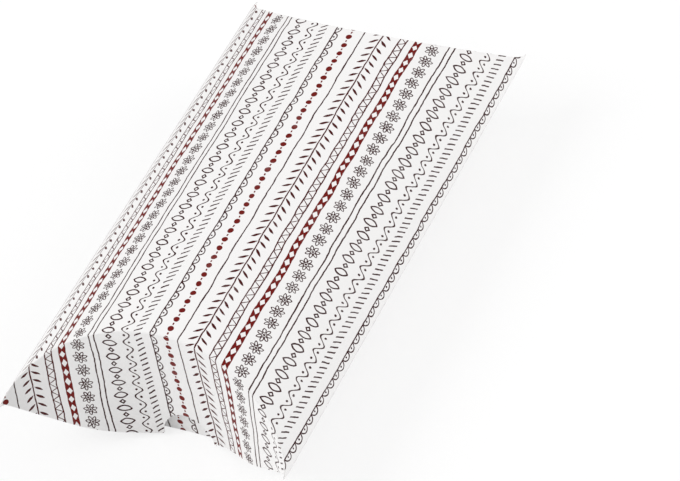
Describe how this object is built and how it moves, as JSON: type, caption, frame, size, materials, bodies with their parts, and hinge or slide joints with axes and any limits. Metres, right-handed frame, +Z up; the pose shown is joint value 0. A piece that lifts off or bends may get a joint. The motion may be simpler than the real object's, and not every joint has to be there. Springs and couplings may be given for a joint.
{
  "type": "pillow favor box",
  "caption": "Pillow-shaped card favor box with curved creases, end flaps that fold over each other, thumb notches and a glued side seam.",
  "frame": {"origin": "centre of the bounding box on the surface that the box lies on", "axes": "+X along the box, towards the front end; +Y across it, with the glued seam on the -Y side; +Z up, from the bottom panel to the top panel"},
  "size_m": [0.243, 0.1296, 0.0599],
  "materials": {
    "printed_card": "smooth white card, satin, printed with rows of dark brown and brick red ornament",
    "plain_card": "uncoated matte white card",
    "glue": "dried white glue, dull"
  },
  "bodies": {
    "sleeve": {"top_panel": "printed_card", "bottom_panel": "printed_card", "glue_tab": "plain_card", "glue_line": "glue"},
    "front_outer": {"front_outer_flap": "printed_card"},
    "front_inner": {"front_inner_flap": "printed_card"},
    "rear_outer": {"rear_outer_flap": "printed_card"},
    "rear_inner": {"rear_inner_flap": "printed_card"}
  },
  "joints": [
    {"name": "front_outer_fold", "type": "hinge", "parent": "sleeve", "child": "front_outer", "pos_m": [0.08957, 0, 0.05986], "axis": [0, -1, 0], "range_deg": [0, 110]},
    {"name": "front_inner_fold", "type": "hinge", "parent": "sleeve", "child": "front_inner", "pos_m": [0.08957, 0, 0], "axis": [0, 1, 0], "range_deg": [0, 90]},
    {"name": "rear_outer_fold", "type": "hinge", "parent": "sleeve", "child": "rear_outer", "pos_m": [-0.08957, 0, 0.05986], "axis": [0, 1, 0], "range_deg": [0, 110]},
    {"name": "rear_inner_fold", "type": "hinge", "parent": "sleeve", "child": "rear_inner", "pos_m": [-0.08957, 0, 0], "axis": [0, -1, 0], "range_deg": [0, 90]}
  ],
  "couplings": [
    {"joint": "front_inner_fold", "follows": "front_outer_fold", "ratio": 0.8},
    {"joint": "rear_inner_fold", "follows": "rear_outer_fold", "ratio": 0.8}
  ]
}
